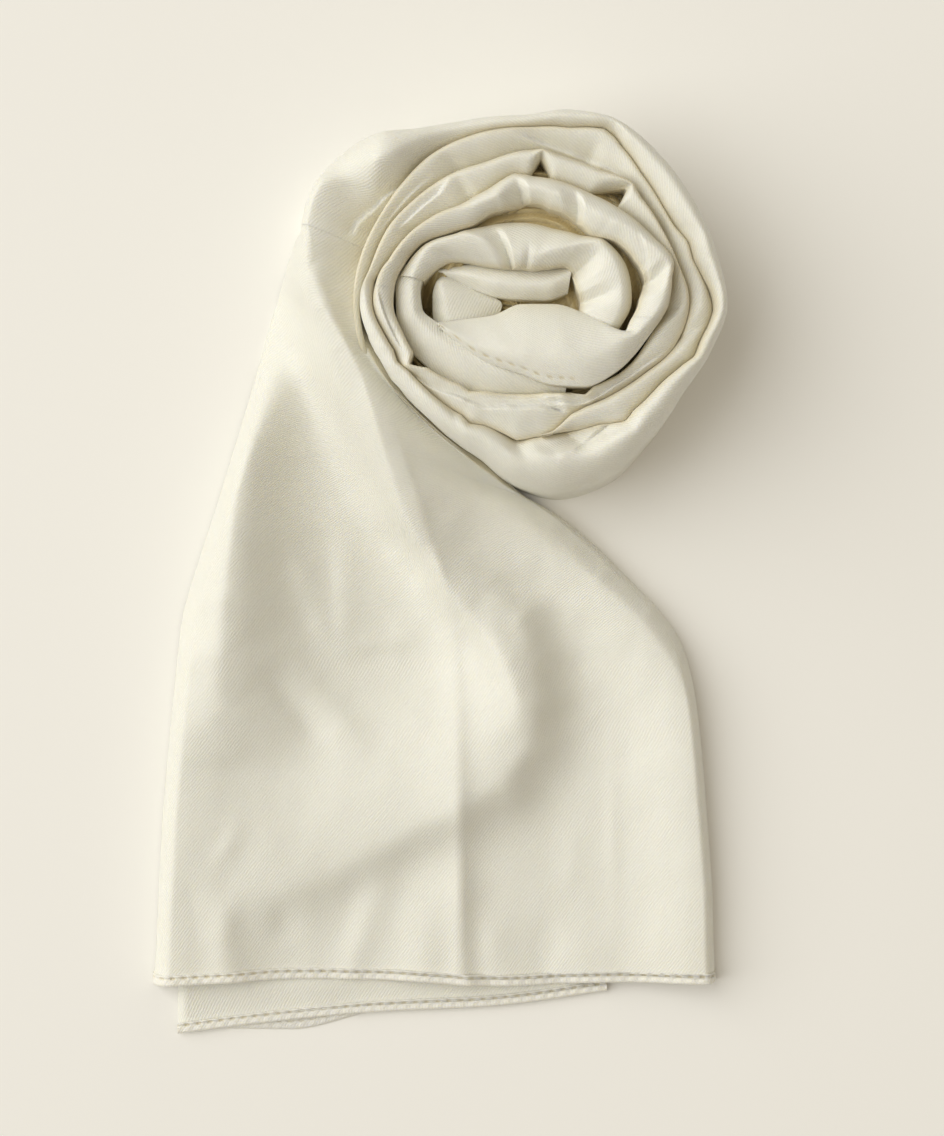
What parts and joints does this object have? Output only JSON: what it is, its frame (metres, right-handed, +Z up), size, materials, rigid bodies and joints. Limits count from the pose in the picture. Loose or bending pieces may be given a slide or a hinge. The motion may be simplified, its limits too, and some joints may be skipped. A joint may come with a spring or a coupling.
{
  "type": "folded scarf",
  "caption": "Plain cream crepe scarf lying flat, with a wide hemmed tail and the rest wound into a loose round roll of soft folds.",
  "frame": {"origin": "centre of the bounding box on the surface that the scarf lies on", "axes": "+Z up, +Y along the length from the hems to the roll, +X to the right as seen from above with the hems nearest"},
  "size_m": [0.1886, 0.3042, 0.052],
  "materials": {
    "georgette": "matt cream crepe with a fine slanting grain",
    "hem": "matt cream rolled hem with small stitches"
  },
  "bodies": {
    "root": {"roll_hidden_layers": "georgette", "turn_one": "georgette", "turn_two": "georgette", "turn_three": "georgette", "turn_four": "georgette", "turn_five": "georgette", "front_fold": "georgette", "inner_end": "georgette", "core_fold": "georgette", "core_lobe": "georgette", "tail_upper": "georgette", "tail_second": "georgette", "tail_third": "georgette", "hem_top": "hem", "hem_second": "hem", "hem_third": "hem"}
  },
  "joints": []
}
